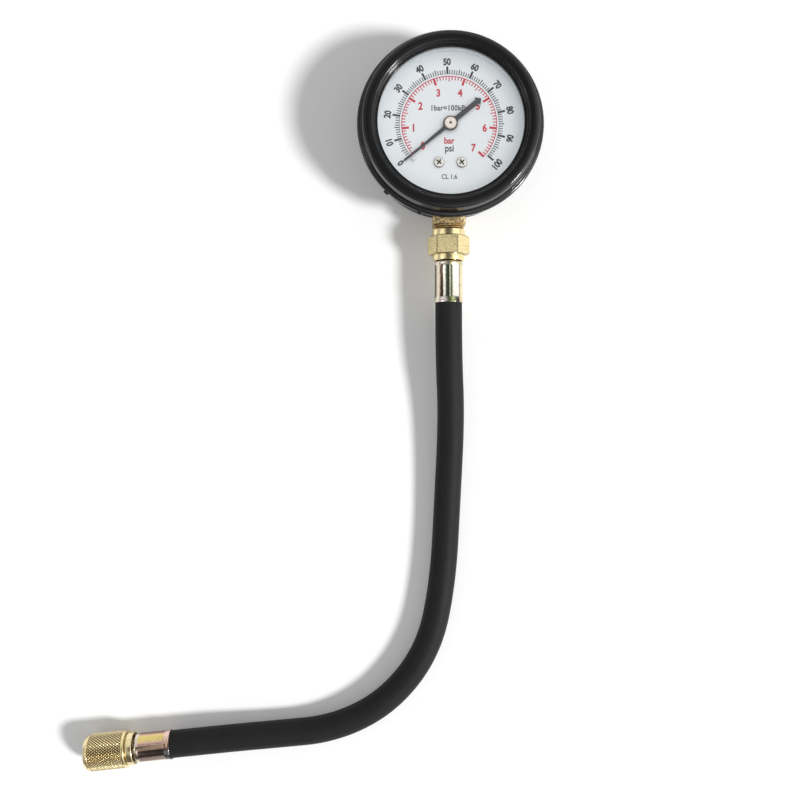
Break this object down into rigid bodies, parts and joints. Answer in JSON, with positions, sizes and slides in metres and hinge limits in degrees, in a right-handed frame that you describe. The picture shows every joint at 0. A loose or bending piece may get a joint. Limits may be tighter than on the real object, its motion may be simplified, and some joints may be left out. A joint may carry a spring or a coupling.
{
  "type": "fuel pressure tester",
  "caption": "Round dial pressure gauge lying on its back, with a brass screwed fitting and a short bent rubber hose that ends in a swivelling knurled brass nut.",
  "frame": {"origin": "middle of the case's flat back, on the surface that the gauge lies on", "axes": "+Z out of the dial, +Y towards the dial's top, and the stem leaves along -Y"},
  "size_m": [0.2042, 0.3268, 0.0348],
  "materials": {
    "black_case_paint": "semi-gloss black enamel",
    "black_bezel_paint": "semi-gloss black enamel",
    "pale_gasket": "translucent, satin",
    "window_clear": "clear, polished",
    "dial_white": "satin white paint, printed scales",
    "pin_white": "satin white paint",
    "screw_nickel": "nickel plated",
    "plain_brass": "machined",
    "pointer_black": "matt black",
    "hub_brass": "bright, slightly pink",
    "plain_steel": "bright",
    "tube_bronze": "drawn phosphor bronze",
    "socket_brass": "machined, grainy",
    "fitting_brass": "machined, grainy",
    "yellow_zinc": "yellow zinc plated, slightly iridescent",
    "hose_rubber": "matt black",
    "seal_rubber": "matt black",
    "nut_brass": "machined, knurled"
  },
  "bodies": {
    "gauge": {"case": "black_case_paint", "bezel": "black_bezel_paint", "window_gasket": "pale_gasket", "window": "window_clear", "dial": "dial_white", "stop_pin": "pin_white", "dial_screws": "screw_nickel", "dial_posts": "plain_brass", "bourdon_tube": "tube_bronze", "base_plate": "plain_brass", "top_plate": "plain_brass", "pillars": "plain_brass", "movement_screws": "plain_steel", "hairspring": "tube_bronze", "hairspring_stud": "plain_brass", "socket": "socket_brass", "case_screws": "plain_steel", "hex_fitting": "fitting_brass", "gauge_ferrule": "yellow_zinc", "end_ferrule": "yellow_zinc", "hose": "hose_rubber", "end_stem": "fitting_brass", "seal_washer": "seal_rubber"},
    "sector_group": {"sector": "plain_brass", "sector_arbor": "plain_steel"},
    "pointer_group": {"pointer": "pointer_black", "pointer_hub": "hub_brass", "pinion_arbor": "plain_steel", "hairspring_collet": "plain_brass"},
    "tip_group": {"tube_tip": "plain_brass", "link": "plain_brass"},
    "nut": {"coupling_nut": "nut_brass"}
  },
  "joints": [
    {"name": "sector_swing", "type": "hinge", "parent": "gauge", "child": "sector_group", "pos_m": [0.008, -0.01409, 0.0192], "axis": [0, 0, 1], "range_deg": [0, 32.75], "stiffness_Nm_per_rad": 0.005},
    {"name": "pointer_spin", "type": "hinge", "parent": "gauge", "child": "pointer_group", "pos_m": [0, 0, 0.0192], "axis": [0, 0, -1], "range_deg": [0, 262]},
    {"name": "tube_tip_travel", "type": "slide", "parent": "gauge", "child": "tip_group", "axis": [0, 1, 0], "range_m": [0, 0.00339], "deforming": ["bourdon_tube"]},
    {"name": "nut_turn", "type": "hinge", "parent": "gauge", "child": "nut", "pos_m": [-0.1245, -0.274, 0.008], "axis": [-0.9945, -0.1051, 0], "continuous": true}
  ],
  "couplings": [
    {"joint": "pointer_spin", "follows": "sector_swing", "ratio": 8},
    {"joint": "tube_tip_travel", "follows": "sector_swing", "m_per_rad": 0.0059187}
  ]
}
